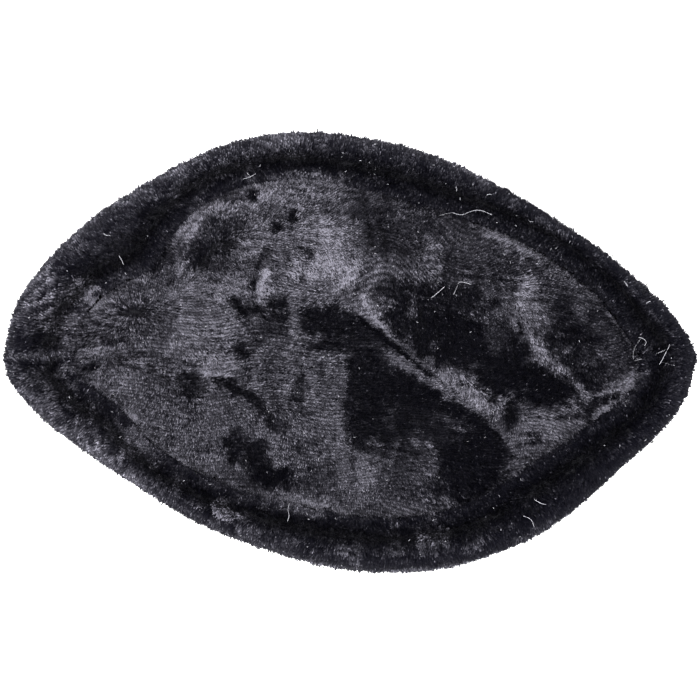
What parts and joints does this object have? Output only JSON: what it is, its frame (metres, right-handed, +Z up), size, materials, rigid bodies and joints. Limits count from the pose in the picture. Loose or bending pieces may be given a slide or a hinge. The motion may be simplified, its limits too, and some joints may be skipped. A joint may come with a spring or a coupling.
{
  "type": "karakul hat",
  "caption": "Wedge-shaped karakul hat of short curly pile, standing open, with a rolled double rim and a creased crown set below it.",
  "frame": {"origin": "on the table under the middle of the hat's box", "axes": "+X from the left tip to the right tip, +Y to the far side, +Z up"},
  "size_m": [0.2596, 0.1652, 0.1032],
  "materials": {
    "pile": "short dense curly pile, black with a faint blue sheen where it lies flat",
    "cloth_back": "matt black woven lining cloth"
  },
  "bodies": {
    "root": {"side_panel_far": "pile", "side_panel_near": "pile", "crown": "pile"}
  },
  "joints": []
}
